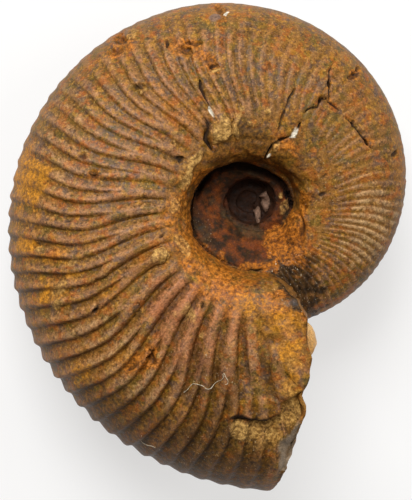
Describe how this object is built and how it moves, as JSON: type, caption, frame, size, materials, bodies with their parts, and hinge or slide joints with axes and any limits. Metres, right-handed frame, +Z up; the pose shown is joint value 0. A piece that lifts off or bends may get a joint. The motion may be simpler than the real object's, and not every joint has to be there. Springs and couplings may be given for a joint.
{
  "type": "ammonite fossil",
  "caption": "Coiled ribbed ammonite fossil with a deep umbilicus and a broken mouth, lying on its flank as a loose desk or display specimen.",
  "frame": {"origin": "centre of the footprint box, on the surface that the fossil rests on", "axes": "+Z up from that surface through the upper flank; +Y across the coil, from the broken mouth towards the far side, its longest direction; +X towards the side where the last whorl starts"},
  "size_m": [0.049, 0.06, 0.0292],
  "materials": {
    "ironstone": "satin"
  },
  "bodies": {
    "root": {"ammonite": "ironstone"}
  },
  "joints": []
}
